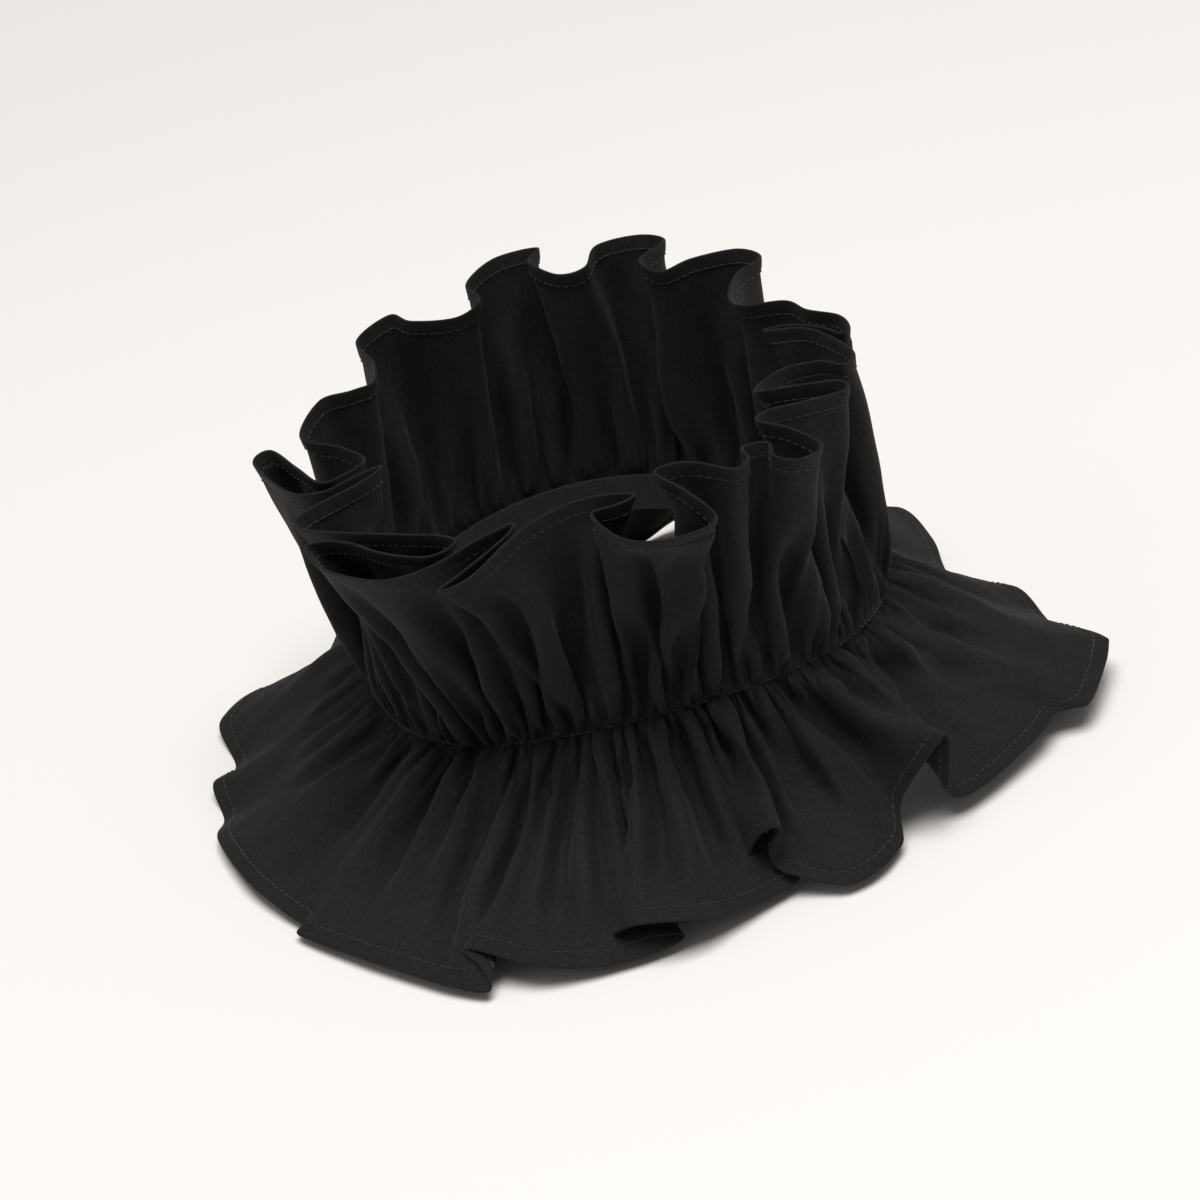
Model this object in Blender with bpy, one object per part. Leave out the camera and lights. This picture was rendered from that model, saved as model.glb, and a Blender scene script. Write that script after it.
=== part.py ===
"""Ruff collar: a black cotton neck frill, hollow as it is when worn.

Two gathered frills meet at one seam round the neck. The upper ruffle stands up in deep
folds, the lower ruffle flares over the shoulders, and a plain elastic casing lies inside the
seam. Units are metres, +Z runs up the neck, the wearer faces -Y, and the origin is the
centre of the seam ring, where the neck holds the collar.
"""
import math

import bmesh
import bpy
import numpy as np

MM = 0.001

# Seam ring round the neck
NECK_HALF_WIDTH = 82 * MM
NECK_HALF_DEPTH = 70 * MM
SEAM_TILT = {"side": 3.8 * MM, "front": -6.3 * MM, "twist": 5.5 * MM}
SEAM_GAP = 0.3 * MM

# Cloth
CLOTH_WALL = 1.2 * MM
HEM_WALL = 1.6 * MM
HEM_WIDTH = 4.5 * MM
UPPER_DEPTH = 78 * MM
LOWER_DEPTH = 72 * MM
GATHER_SIZE = 0.6 * MM
COLUMNS_PER_GATHER = 4
GATHER_REACH = 0.3
LAYER_SPACING = 3.8 * MM
FOLD_SPREAD = 5
EASING_PASSES = 140
EASING_RATE = 0.08
BEND_EASING = 0.015

# Elastic casing
CASING_WALL = 1.2 * MM
CASING_HEIGHT = 12 * MM
CASING_RISE = 3 * MM
CASING_COLUMNS = 72

# Grid of each ruffle; a higher flare keeps the cloth near the seam's line for longer
UPPER_FLARE = 1.3
LOWER_FLARE = 1.15
COLUMNS = 168
STEPS_PER_TURN = 16
TURN_SHARPNESS = 0.012
ROWS = (0.0, 0.12, 0.33, 0.6, 0.85)

# Turns of the upper hem, in order along the cloth: azimuth in degrees from the front towards
# the wearer's left, and distance from the neck's axis in mm.
UPPER_COLUMNS = ("azimuth", "radius")
UPPER_HEM = (
    (-79, 85), (-67, 86), (-61, 75), (-55.5, 67), (-50, 71), (-49, 79),
    (-57, 85), (-65, 94), (-62, 101), (-50, 93), (-42, 83), (-43.5, 71), (-48, 62), (-41.5, 66),
    (-37.5, 80), (-36, 90), (-29, 91), (-10, 83), (2, 83), (8.5, 86.5), (5, 92), (-8, 93), (-18, 93), (-25, 94),
    (-27.5, 99), (-18, 103), (-6, 105), (1, 103), (7, 98), (13.5, 90), (18, 89), (15, 97), (8, 106),
    (13, 108), (20, 95), (28, 85), (35, 83), (42, 86), (40, 91.5), (33.5, 92.5), (33.5, 99), (36.5, 105.5), (41, 109),
    (46.5, 110.5), (51.5, 109), (50, 96), (46.5, 86), (50, 81), (55, 86), (58, 96), (61.5, 95),
    (63, 87), (67, 87), (68.5, 94), (67, 101), (71.5, 105), (75, 95), (72, 82), (76, 76), (82, 82), (89, 91),
    (93, 84), (89, 71), (88, 62), (95, 59), (101, 65), (102, 77), (101, 85), (107, 87), (114, 78),
    (122, 68), (129, 59), (134, 64), (130, 76), (122, 81), (123, 88), (133, 84), (141, 75), (147, 65),
    (155, 58), (163, 68), (166, 82), (173, 83), (179, 70), (184, 60), (192, 66), (190, 82), (197, 88),
    (205, 78), (207, 63), (215, 62), (221, 76), (218, 88), (227, 90), (236, 78), (237, 66), (245, 65),
    (252, 77), (252, 88), (261, 89), (267, 76), (273, 71), (277, 76),
)

# Turns of the lower hem: azimuth in degrees, distance from the neck's axis in mm, and height
# above the origin in mm.
LOWER_COLUMNS = ("azimuth", "radius", "height")
LOWER_HEM = (
    (-76, 141, -38), (-67, 130, -42), (-60, 134, -38), (-53, 131, -42), (-45, 134, -38), (-32, 134, -36),
    (-23, 134, -38), (-17.5, 135, -40), (-15, 138.5, -39), (-6, 140, -38), (2, 143, -38), (8, 147, -38.5),
    (13.5, 147, -38), (14, 142, -36), (14, 139, -34), (19, 141, -35.5), (25, 138, -38.5), (30, 134.5, -39.5),
    (34.5, 131, -39.5), (34, 130.5, -34.5), (28, 131, -33), (25.5, 132, -28.5), (30, 133.5, -26.5),
    (35, 134.5, -27), (39, 131, -31), (44, 124, -36), (49, 119, -38.5), (53, 116, -38.5), (50.5, 113, -35),
    (46.5, 110, -31.5), (46, 111.5, -26), (48, 114, -20), (50.5, 118, -17), (52, 119, -22), (51.5, 117.5, -29),
    (53, 120, -34), (57, 127, -37), (63, 125.5, -38),
    (68, 121, -37.5), (71.5, 117, -36), (69, 117, -30), (65.5, 121, -24), (66.5, 125, -17), (71, 130, -11),
    (75, 131, -10), (77.5, 128, -17), (77, 123, -28), (79, 125, -34), (85, 127.5, -35),
    (94, 131, -33), (98, 130, -33), (101, 134, -33), (106, 140, -33), (113, 143, -31), (119, 142, -32),
    (125, 131, -36), (131, 129, -37), (138, 125, -33), (147, 119, -38), (155, 120, -40), (163, 130, -37),
    (171, 137, -33), (179, 134, -38), (184, 127, -41), (192, 135, -34), (199, 141, -32), (206, 133, -38),
    (212, 127, -41), (220, 137, -35), (228, 141, -34), (233, 132, -39), (239, 128, -41),
    (246, 136, -36), (254, 137, -34), (262, 131, -40), (269, 129, -41), (277, 137, -37),
)

CLOTH_COLOUR = (0.012, 0.012, 0.013, 1.0)
CASING_COLOUR = (0.016, 0.016, 0.018, 1.0)


def seam_radius(azimuth):
    """Plan radius of the elliptical neck seam."""
    return 1.0 / np.hypot(np.sin(azimuth) / NECK_HALF_WIDTH, np.cos(azimuth) / NECK_HALF_DEPTH)


def seam_height(azimuth):
    """Height of the seam, which dips at the front and rises over the left shoulder."""
    side = SEAM_TILT["side"] * np.sin(azimuth)
    front = SEAM_TILT["front"] * np.cos(azimuth)
    return side + front + SEAM_TILT["twist"] * np.sin(2 * azimuth)


def polar(azimuth, radius, height):
    """World points of an azimuth from the front towards the wearer's left."""
    return np.stack([radius * np.sin(azimuth), -radius * np.cos(azimuth), height], axis=-1)


def column(table, names, name):
    """One named column of a table."""
    return np.array([row[names.index(name)] for row in table], dtype=float)


def smooth_loop(turns):
    """Closed Catmull-Rom curve through the turns of a hem."""
    before, after, beyond = np.roll(turns, 1, 0), np.roll(turns, -1, 0), np.roll(turns, -2, 0)
    t = np.linspace(0, 1, STEPS_PER_TURN, endpoint=False)[None, :, None]
    p0, p1, p2, p3 = (p[:, None, :] for p in (before, turns, after, beyond))
    curve = 2 * p1 + (p2 - p0) * t + (2 * p0 - 5 * p1 + 4 * p2 - p3) * t ** 2
    curve = 0.5 * (curve + (3 * p1 - p0 - 3 * p2 + p3) * t ** 3)
    return curve.reshape(-1, turns.shape[1])


def spread_columns(curve):
    """Columns along a closed hem, closer together where it turns sharply."""
    step = np.roll(curve, -1, 0) - curve
    length = np.linalg.norm(step, axis=1)
    along = step / length[:, None]
    bend = np.linalg.norm(along - np.roll(along, 1, 0), axis=1)
    weight = np.concatenate([[0.0], np.cumsum(length + TURN_SHARPNESS * bend)])
    wanted = np.linspace(0, weight[-1], COLUMNS, endpoint=False)
    closed = np.vstack([curve, curve[:1]])
    return np.stack([np.interp(wanted, weight, closed[:, k]) for k in range(3)], axis=1)


def seam_azimuths(edge):
    """Azimuth at which each hem column joins the seam: the hem's own, with its folds spread out."""
    azimuth = np.unwrap(np.arctan2(edge[:, 0], -edge[:, 1]))
    window = COLUMNS // 8
    lap = np.concatenate([azimuth - 2 * np.pi, azimuth, azimuth + 2 * np.pi])
    weights = np.hanning(2 * window + 1)
    spread = np.convolve(lap, weights / weights.sum(), mode="same")[COLUMNS:2 * COLUMNS]
    return np.maximum.accumulate(spread)


def upper_edge():
    """Hem of the standing ruffle: its height keeps the cloth's depth from seam to hem."""
    azimuth = np.radians(column(UPPER_HEM, UPPER_COLUMNS, "azimuth"))
    radius = column(UPPER_HEM, UPPER_COLUMNS, "radius") * MM
    lean = radius - seam_radius(azimuth)
    height = seam_height(azimuth) + np.sqrt(UPPER_DEPTH ** 2 - lean ** 2)
    return spread_columns(smooth_loop(polar(azimuth, radius, height)))


def lower_edge():
    """Hem of the flared ruffle, from its own heights."""
    azimuth = np.radians(column(LOWER_HEM, LOWER_COLUMNS, "azimuth"))
    radius = column(LOWER_HEM, LOWER_COLUMNS, "radius") * MM
    height = column(LOWER_HEM, LOWER_COLUMNS, "height") * MM
    return spread_columns(smooth_loop(polar(azimuth, radius, height)))


def spread_folds(edge, reach):
    """Hem line with its folds opened out over a reach of columns on either side."""
    if reach < 1:
        return edge
    weights = np.hanning(2 * int(reach) + 3)
    lap = np.vstack([edge, edge, edge])
    columns = [np.convolve(lap[:, k], weights / weights.sum(), mode="same") for k in range(3)]
    return np.stack(columns, axis=1)[COLUMNS:2 * COLUMNS]


def ruffle_surface(edge, seam_offset, flare, depth):
    """Middle surface of a ruffle as rows from the seam to the hem.

    Each column runs from its seam point to its hem point. Its plan moves by the row to the
    power of flare, so the cloth leaves the seam upright, and gathers fade out over the first rows.
    """
    shares = ROWS + (1.0 - HEM_WIDTH / depth, 1.0)
    rows = np.array(shares)[:, None, None]
    hems = np.array([spread_folds(edge, FOLD_SPREAD * (1.0 - share)) for share in shares])
    azimuth = seam_azimuths(edge)
    start = polar(azimuth, seam_radius(azimuth), seam_height(azimuth) + seam_offset)
    outward = polar(azimuth, 1.0, 0.0 * azimuth)
    surface = start + (hems - start) * np.concatenate([rows ** flare, rows ** flare, rows], axis=2)
    fade = np.clip(1 - rows / GATHER_REACH, 0, 1)
    gather = GATHER_SIZE * np.sin(2 * np.pi * np.arange(COLUMNS) / COLUMNS_PER_GATHER)
    return ease_layers(surface + fade * gather[None, :, None] * outward)


def ease_layers(surface):
    """Move cloth layers that lie closer than the layer spacing apart, row by row.

    Two columns count as separate layers where the cloth between them is longer than twice
    that spacing. Each pass parts them a little, carries their neighbours along and rounds
    the sharpest bends.
    """
    eased = surface.copy()
    for row in eased[1:]:
        step = np.linalg.norm(np.roll(row, -1, 0) - row, axis=1)
        place = np.concatenate([[0.0], np.cumsum(step)[:-1]])
        apart = np.abs(place[:, None] - place[None, :])
        separate = np.minimum(apart, step.sum() - apart) > 2 * LAYER_SPACING
        for _ in range(EASING_PASSES):
            offset = row[:, None] - row[None, :]
            distance = np.linalg.norm(offset, axis=2) + np.eye(len(row))
            push = np.where(separate, np.clip(LAYER_SPACING - distance, 0, None), 0.0)
            shift = (offset * (push / distance)[:, :, None]).sum(axis=1)
            row += EASING_RATE * (shift + np.roll(shift, 1, 0) + np.roll(shift, -1, 0))
            row += BEND_EASING * (np.roll(row, 1, 0) + np.roll(row, -1, 0) - 2 * row)
    return eased


def surface_normals(surface):
    """Unit normals of a grid that is closed along its columns."""
    along = np.roll(surface, -1, 1) - np.roll(surface, 1, 1)
    down = np.gradient(surface, axis=0)
    normal = np.cross(along, down)
    return normal / np.linalg.norm(normal, axis=2, keepdims=True)


def wall_mesh(name, surface, walls):
    """Closed wall on both sides of a grid, with its own thickness for each row."""
    normal = surface_normals(surface)
    half = 0.5 * np.asarray(walls)[:, None, None] * normal
    rows, columns = surface.shape[:2]
    points = np.concatenate([(surface + half).reshape(-1, 3), (surface - half).reshape(-1, 3)])
    back = rows * columns
    faces = []
    for c in range(columns):
        n = (c + 1) % columns
        for r in range(rows - 1):
            a, b, d, e = r * columns + c, r * columns + n, (r + 1) * columns + n, (r + 1) * columns + c
            faces.append((a, b, d, e))
            faces.append((back + a, back + e, back + d, back + b))
        last = (rows - 1) * columns
        faces.append((c, back + c, back + n, n))
        faces.append((last + c, last + n, back + last + n, back + last + c))
    mesh = bpy.data.meshes.new(name)
    mesh.from_pydata(points.tolist(), [], faces)
    shape = bmesh.new()
    shape.from_mesh(mesh)
    bmesh.ops.recalc_face_normals(shape, faces=shape.faces)
    shape.to_mesh(mesh)
    shape.free()
    return mesh


def cloth_material(name, colour, roughness):
    """Matt cotton."""
    material = bpy.data.materials.new(name)
    material.use_nodes = True
    shader = material.node_tree.nodes["Principled BSDF"]
    shader.inputs["Base Color"].default_value = colour
    shader.inputs["Roughness"].default_value = roughness
    shader.inputs["Metallic"].default_value = 0.0
    return material


def add_piece(name, surface, walls, material):
    """Link one piece of the collar under its node's name."""
    mesh = wall_mesh(name, surface, walls)
    mesh.materials.append(material)
    piece = bpy.data.objects.new(name, mesh)
    bpy.context.scene.collection.objects.link(piece)
    return piece


def ruffle_walls():
    """Wall of each row: single cloth, and the turned hem's double cloth at the last two."""
    return [CLOTH_WALL] * len(ROWS) + [HEM_WALL] * 2


def make_upper_ruffle(material):
    """Standing frill round the neck."""
    surface = ruffle_surface(upper_edge(), 0.5 * SEAM_GAP, UPPER_FLARE, UPPER_DEPTH)
    return add_piece("upper_ruffle", surface, ruffle_walls(), material)


def make_lower_ruffle(material):
    """Frill that flares over the shoulders."""
    start = -0.5 * SEAM_GAP - 0.5 * CLOTH_WALL
    surface = ruffle_surface(lower_edge(), start, LOWER_FLARE, LOWER_DEPTH)
    return add_piece("lower_ruffle", surface, ruffle_walls(), material)


def make_neck_casing(material):
    """Plain band inside the seam that holds the elastic."""
    azimuth = np.linspace(0, 2 * np.pi, CASING_COLUMNS, endpoint=False)
    clearance = 0.5 * CLOTH_WALL + GATHER_SIZE + SEAM_GAP + CASING_WALL
    radius = seam_radius(azimuth) - clearance
    heights = (CASING_RISE - CASING_HEIGHT, CASING_RISE)
    rings = [polar(azimuth, radius, seam_height(azimuth) + height) for height in heights]
    return add_piece("neck_casing", np.array(rings), [CASING_WALL] * 2, material)


def main():
    for old in list(bpy.data.objects):
        bpy.data.objects.remove(old, do_unlink=True)
    cloth = cloth_material("black_cotton", CLOTH_COLOUR, 0.85)
    make_upper_ruffle(cloth)
    make_lower_ruffle(cloth)
    make_neck_casing(cloth_material("casing_cotton", CASING_COLOUR, 0.9))


main()
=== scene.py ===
"""Ruff collar: black cotton in two gathered frills on one neck seam, hollow as it is worn.

Each frill is a grid: columns run along the strip of cloth and rows run from the neck seam to
the turned hem. The hem follows a table of its turns, the folds open out and break into
gathers towards the seam, and a profile of the cloth's two faces and its turned hem is carried
along that grid. Units are metres, +Z runs up the neck and the wearer faces -Y.
"""

import bpy
import numpy as np
from mathutils import Matrix, Vector


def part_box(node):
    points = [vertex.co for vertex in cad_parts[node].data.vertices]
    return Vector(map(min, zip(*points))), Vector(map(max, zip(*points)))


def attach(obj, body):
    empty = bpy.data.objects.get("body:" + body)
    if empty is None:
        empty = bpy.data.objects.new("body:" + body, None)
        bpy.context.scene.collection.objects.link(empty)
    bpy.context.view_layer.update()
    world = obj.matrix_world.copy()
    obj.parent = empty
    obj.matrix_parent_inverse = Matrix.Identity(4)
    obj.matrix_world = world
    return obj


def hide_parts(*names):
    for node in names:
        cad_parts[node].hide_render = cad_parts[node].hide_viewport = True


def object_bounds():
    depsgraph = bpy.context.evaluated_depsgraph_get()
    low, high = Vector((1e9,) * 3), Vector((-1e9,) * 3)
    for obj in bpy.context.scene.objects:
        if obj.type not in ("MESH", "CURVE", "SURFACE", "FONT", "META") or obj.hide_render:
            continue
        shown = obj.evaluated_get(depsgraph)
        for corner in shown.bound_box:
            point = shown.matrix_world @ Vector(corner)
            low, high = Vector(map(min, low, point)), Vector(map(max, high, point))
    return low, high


MM = 0.001

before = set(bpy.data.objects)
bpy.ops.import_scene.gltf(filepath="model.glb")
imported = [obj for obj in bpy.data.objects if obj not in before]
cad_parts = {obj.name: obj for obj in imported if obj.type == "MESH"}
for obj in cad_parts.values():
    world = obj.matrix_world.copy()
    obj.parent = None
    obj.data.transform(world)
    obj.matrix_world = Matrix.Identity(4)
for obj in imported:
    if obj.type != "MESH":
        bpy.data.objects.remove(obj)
cad_box = [list(map(float, corner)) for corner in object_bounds()]

# ---------------------------------------------------------------- sizes

CASING_LOW, CASING_HIGH = (np.array(corner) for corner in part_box("neck_casing"))
SEAM_STANDOFF = 2.1 * MM
NECK_HALF_WIDTH = 0.5 * (CASING_HIGH[0] - CASING_LOW[0]) + SEAM_STANDOFF
NECK_HALF_DEPTH = 0.5 * (CASING_HIGH[1] - CASING_LOW[1]) + SEAM_STANDOFF
SEAM_TILT = {"side": 3.8 * MM, "front": -6.3 * MM, "twist": 5.5 * MM}

UPPER_DEPTH = 78 * MM
LOWER_DEPTH = 72 * MM
UPPER_FLARE = 1.3
LOWER_FLARE = 1.15
HEM_WIDTH = 4.5 * MM
STITCH_INSET = 4.0 * MM
CLOTH_HALF = 0.2 * MM

COLUMNS = 1152
EASING_COLUMNS = 384
TURN_STEPS = 24
FOLD_SPREAD = 22 * MM
LAYER_SPACING = 1.7 * MM
GATHER_SPACING = 1.1 * MM
FULLNESS = 0.9
SETTLE_PASSES = 360
CARRIED_SPEED = 0.8
MOVE_GAIN = 0.45
SEAM_FULLNESS = 0.39
LIMP_REACH = 18 * MM
SEAM_ZONE = 14 * MM
CREASE_SET = 0.6
DENT_HEIGHT = 0.16 * MM
BENDING = ((1, 0.35), (2, 0.12))

# Turns of the upper hem, in order along the cloth: azimuth in degrees from the front towards
# the wearer's left, and distance from the neck's axis in mm.
UPPER_COLUMNS = ("azimuth", "radius")
UPPER_HEM = (
    (-79, 85), (-67, 86), (-61, 73), (-54.5, 66), (-48.5, 72), (-47, 80), (-56, 86), (-65, 95),
    (-62.5, 100), (-48, 90), (-42.5, 81), (-46, 69), (-50, 61.5), (-42, 69), (-37.5, 90), (-31, 92),
    (-8, 85), (2, 86), (7.5, 90), (3, 94.5), (-8, 92.5), (-17, 90.5), (-24, 92.5), (-26.5, 97),
    (-18, 101), (-6, 102.5), (1, 101), (7, 96.5), (13.5, 89.5), (18.5, 87), (15, 96), (8, 106.5),
    (13, 104), (20, 91), (28, 85), (35, 85.5), (41, 90), (37, 91.5), (33, 91.5), (34, 97), (37, 104.5),
    (41, 108.5), (46.5, 110.5), (51, 109), (49, 96), (46, 84), (50, 83), (54, 87.5), (58, 96),
    (61.5, 94.5), (62.5, 89), (66.5, 92), (65, 98), (67.5, 103.5), (72.5, 103), (72.5, 91), (71, 80),
    (75.5, 78), (82, 84), (89.5, 90.5), (93, 86), (90, 77), (87.5, 66), (88, 61.5), (96, 59.5),
    (102.5, 64), (103, 75), (100.5, 82.5), (106, 84), (115, 77), (126, 68), (133, 57), (131, 63),
    (124, 72), (117.5, 79), (121, 81), (128, 79), (135, 71.5), (143, 68.5), (151, 58), (158, 59),
    (164, 69), (166, 82), (173, 83), (179, 70), (184, 60), (192, 66), (190, 82), (197, 88), (205, 78),
    (207, 63), (215, 62), (221, 76), (218, 88), (227, 90), (236, 78), (237, 66), (245, 65), (252, 77),
    (252, 88), (261, 89), (267, 76), (273, 71), (277, 76),
)

# Turns of the lower hem: azimuth in degrees, distance from the neck's axis in mm, and height
# above the neck seam's centre in mm.
LOWER_COLUMNS = ("azimuth", "radius", "height")
LOWER_HEM = (
    (-76, 141, -38), (-67, 130, -42), (-60, 134, -38), (-53, 131, -42), (-45, 134, -38), (-32, 134, -37),
    (-23, 134, -38), (-18, 134.5, -39), (-16.5, 138.5, -39), (-6, 140, -38), (2, 143, -38),
    (8, 146.5, -38), (12, 148, -38.3), (12.8, 146.5, -37.6), (11, 141.5, -34.4), (8.7, 138.3, -32),
    (9.6, 138, -31), (13.4, 139.8, -31.9), (18.4, 142, -34), (23.6, 139, -37.2), (27, 136.4, -38),
    (30, 134.4, -38), (34, 131.4, -37.6), (34.4, 130.2, -36), (30, 130, -35), (27.2, 129, -34.3),
    (26.5, 129.8, -32.8), (27.6, 132, -30.5), (29.6, 133.2, -28.7), (34.5, 134.6, -28.6),
    (38.7, 131, -32), (43, 124.8, -35.8), (47.6, 120, -37.4), (51, 117.6, -37.6), (52.4, 116, -36.6),
    (50.6, 114.4, -35), (48.4, 112.8, -33.8), (46.2, 110.4, -31.4), (46.5, 111.2, -26.8),
    (47.7, 113, -22), (49, 115.2, -19.2), (50.3, 117.4, -18), (50.7, 118.2, -19.6), (50, 116.8, -24),
    (49.2, 115, -29), (49.4, 115.4, -31.6), (50.6, 117.6, -33.3), (52.4, 120, -35), (55, 124.2, -37.2),
    (57.4, 127.4, -38), (62, 126.5, -38), (67.2, 121.5, -38), (69.2, 117.8, -37), (70.4, 114.8, -33),
    (71.2, 114.6, -29), (72.6, 116.6, -24), (73.8, 120.3, -18), (75.2, 123.2, -13), (76.3, 124.8, -10.4),
    (77, 125.2, -12.5), (76.7, 124.2, -22), (77.6, 121, -32), (80, 123, -35), (86.7, 125.2, -35),
    (96.2, 129.2, -33.5), (100.5, 130.2, -33), (101.8, 134.2, -33), (103.6, 139.4, -33),
    (111.6, 141.6, -32), (116, 142.8, -31), (117.8, 142.2, -31), (121.6, 135.4, -32), (126, 128, -34),
    (131, 128, -37), (138, 125, -33), (147, 119, -38), (155, 120, -40), (163, 130, -37), (171, 137, -33),
    (179, 134, -38), (184, 127, -41), (192, 135, -34), (199, 141, -32), (206, 133, -38), (212, 127, -41),
    (220, 137, -35), (228, 141, -34), (233, 132, -39), (239, 128, -41), (246, 136, -36), (254, 137, -34),
    (262, 131, -40), (269, 129, -41), (277, 137, -37),
)

# Gathers: how many go round, how high they stand, how far from the seam they are highest and
# have died away, all in mm, and the seed of their unevenness. The first table starts the cloth
# buckling; the second is the fine crimping at the seam, which lies on top of it.
GATHERS = ((92, 1.2, 4.0, 20.0, 12), (47, 1.7, 12.0, 44.0, 13), (26, 1.5, 30.0, 72.0, 14))
CRIMPS = ((178, 1.15, 2.5, 14.0, 21), (126, 1.5, 5.5, 24.0, 22), (74, 1.2, 12.0, 40.0, 23))

# Folds of each hem that die away before they reach the neck: azimuth and half width in
# degrees, and the share of the depth that they run up from the hem.
UPPER_SHORT = ((13, 15, 0.35), (-40, 12, 0.45), (42, 13, 0.3), (62, 4, 0.5), (90, 8, 0.6), (124, 14, 0.6))
LOWER_SHORT = ((10.5, 3.5, 0.3), (30.5, 5.5, 0.5), (49, 4.5, 0.5), (73, 7, 0.7))

# Creases laid into the cloth, listed one by one: azimuth at the seam where each starts, its distance
# from the seam there, the same two at its outer end, and its width and height in mm; troughs are negative.
UPPER_CREASES = (
    (-20, 12, -4, 54, 3, -1.6), (-13, 10, -8, 30, 3, 1.2), (0, 13, 0.5, 52, 3, -1.8),
    (4, 11, 2.3, 44, 4.5, 2.0), (15.5, 18, 18, 58, 2.6, -1.7), (20, 14, 23.5, 52, 3.0, 1.3),
    (22.5, 12, 26.6, 64, 3.2, -2.2), (29, 6, 31, 26, 2.5, 1.2), (35, 12, 44.4, 62, 4, -3.2),
    (38, 7, 46.5, 52, 2.8, 2.2), (41.5, 10, 47.5, 42, 2.4, -1.9), (51.5, 6, 46.8, 34, 2, 1.3),
    (54, 4, 55, 22, 2, -1.2), (58, 4, 64.5, 46, 2.6, -3.0), (55.5, 22, 61, 46, 2.6, 1.6),
    (71.6, 18, 67, 48, 5, -2.6), (76, 8, 76, 34, 3, 1.5), (84, 16, 83, 40, 3, -2.0),
    (93, 6, 92, 26, 3, -1.6), (104, 8, 101, 44, 4, -2.2), (113, 10, 116, 36, 3, 1.8),
    (131, 8, 128, 50, 4, -2.4), (146, 6, 149, 28, 3, 1.6), (160, 10, 156, 56, 4, -2.2),
    (172, 8, 175, 34, 3, 1.7), (189, 12, 186, 48, 4, -2.5), (203, 6, 206, 26, 3, -1.6),
    (216, 10, 220, 52, 4, 2.0), (231, 8, 228, 40, 3, -2.3), (247, 6, 250, 30, 3, 1.6),
    (262, 10, 258, 54, 4, -2.4), (278, 8, 281, 38, 3, -1.9), (292, 10, 295, 46, 4, 1.8),
    (308, 8, 304, 42, 3, -2.0), (324, 6, 327, 30, 3, 1.5),
)
LOWER_CREASES = (
    (-61, 4, -56.5, 24, 2.6, -1.8), (-62, 28, -56, 54, 4, -1.8), (-41, 2, -26, 56, 5, -2.8),
    (-35, 4, -33, 20, 2.2, 1.2), (-24, 4, -22, 24, 2.4, 1.4), (-14.8, 8, -11, 54, 2.6, -2.8),
    (-11, 5, -9, 26, 2.6, 1.8), (-9, 24, -5.5, 36, 1.8, -1.5), (-8.2, 5, -2.4, 22, 2.2, -2.2),
    (-4, 4, -2, 30, 2, 1.3), (0.6, 36, 2, 64, 3, -2.2), (3.5, 40, 5.5, 68, 1.6, 1.6),
    (4, 5, 9.6, 30, 2.2, -1.8), (6.5, 5, 11, 26, 1.8, 1.3), (13, 14, 8.2, 50, 3.2, -2.5),
    (14, 16, 11.5, 34, 3.0, 1.3), (14.4, 17, 16, 24, 2.6, -1.8), (17.8, 18, 20, 62, 2.8, -1.7),
    (19.5, 18, 22, 60, 2.8, 1.3), (14.7, 4, 19.4, 20, 1.8, -1.5), (26, 14, 34, 27, 2.6, -1.9),
    (22.6, 40, 27, 68, 2.4, 1.4), (33, 3, 35, 18, 1.8, -1.4), (40.7, 3, 39.8, 30, 1.9, -1.9),
    (47.3, 3, 51.2, 34, 2, -1.9), (50, 4, 53, 26, 2, 1.3), (56.1, 2, 63, 48, 2.2, -2.8),
    (58, 3, 64, 34, 2.2, 1.6), (64.4, 2, 72, 48, 2.6, -2.4), (67, 3, 75, 26, 2, 1.4),
    (82.6, 26, 88.6, 37, 2, -1.9), (76, 2, 80, 22, 2, -1.3), (82.8, 4, 97, 40, 3.2, -3.2),
    (86, 4, 101, 34, 2.6, 1.8), (93, 3, 108, 30, 2.4, -1.9), (100, 3, 112, 46, 3, -2.0),
    (118, 4, 121, 40, 3, 1.8), (133, 6, 130, 50, 3, -2.4), (149, 4, 152, 30, 2.6, 1.6),
    (160, 6, 157, 48, 3, -2.2), (174, 4, 178, 34, 2.6, -1.9), (190, 8, 187, 56, 3.4, -2.6),
    (205, 4, 208, 28, 2.4, 1.5), (219, 6, 215, 46, 3, -2.2), (236, 4, 240, 36, 2.6, 1.8),
    (251, 8, 248, 54, 3.2, -2.5), (266, 4, 270, 30, 2.4, -1.6), (281, 6, 284, 44, 3, 2.0),
    (316, 4, 313, 36, 2.6, -2.0), (328, 6, 332, 50, 3, -2.2), (341, 4, 338, 26, 2.2, 1.5),
)


# ---------------------------------------------------------------- the cloth's shape

def seam_radius(azimuth):
    """Plan radius of the elliptical neck seam."""
    return 1.0 / np.hypot(np.sin(azimuth) / NECK_HALF_WIDTH, np.cos(azimuth) / NECK_HALF_DEPTH)


def seam_height(azimuth):
    """Height of the seam: one wave to the side, one to the front and one twist."""
    side = SEAM_TILT["side"] * np.sin(azimuth)
    front = SEAM_TILT["front"] * np.cos(azimuth)
    return side + front + SEAM_TILT["twist"] * np.sin(2 * azimuth)


def polar(azimuth, radius, height):
    """Points at an azimuth from the front towards the wearer's left."""
    return np.stack([radius * np.sin(azimuth), -radius * np.cos(azimuth), height], axis=-1)


def column(table, names, name):
    """One named column of a table."""
    return np.array([row[names.index(name)] for row in table], dtype=float)


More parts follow.
